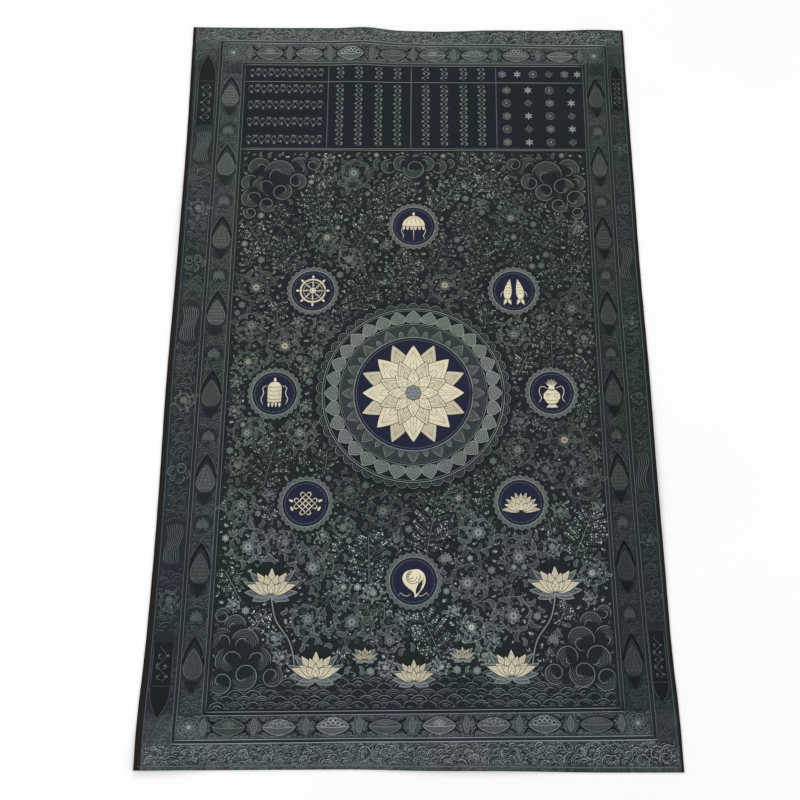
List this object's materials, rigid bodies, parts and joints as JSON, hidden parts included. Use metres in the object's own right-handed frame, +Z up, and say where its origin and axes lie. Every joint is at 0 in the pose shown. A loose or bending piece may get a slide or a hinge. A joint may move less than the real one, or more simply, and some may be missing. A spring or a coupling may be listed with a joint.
{
  "type": "thangka scroll painting cloth",
  "caption": "Black-ground brocade thangka cloth, one rectangular woven sheet with borders, lying flat and face up, without rods or mount.",
  "frame": {"origin": "under the middle of the cloth, on the surface that it lies on", "axes": "+Z up from the picture face, +Y towards the top edge of the picture, +X towards its right edge"},
  "size_m": [0.55, 0.9, 0.0051],
  "materials": {
    "brocade_ground": "dark satin weave, near-black with a green-blue cast",
    "pale_thread": "pale grey-green figuring thread",
    "ivory_thread": "ivory satin floats",
    "navy_thread": "dark navy satin floats"
  },
  "bodies": {
    "root": {"thangka_cloth": "brocade_ground"}
  },
  "joints": []
}
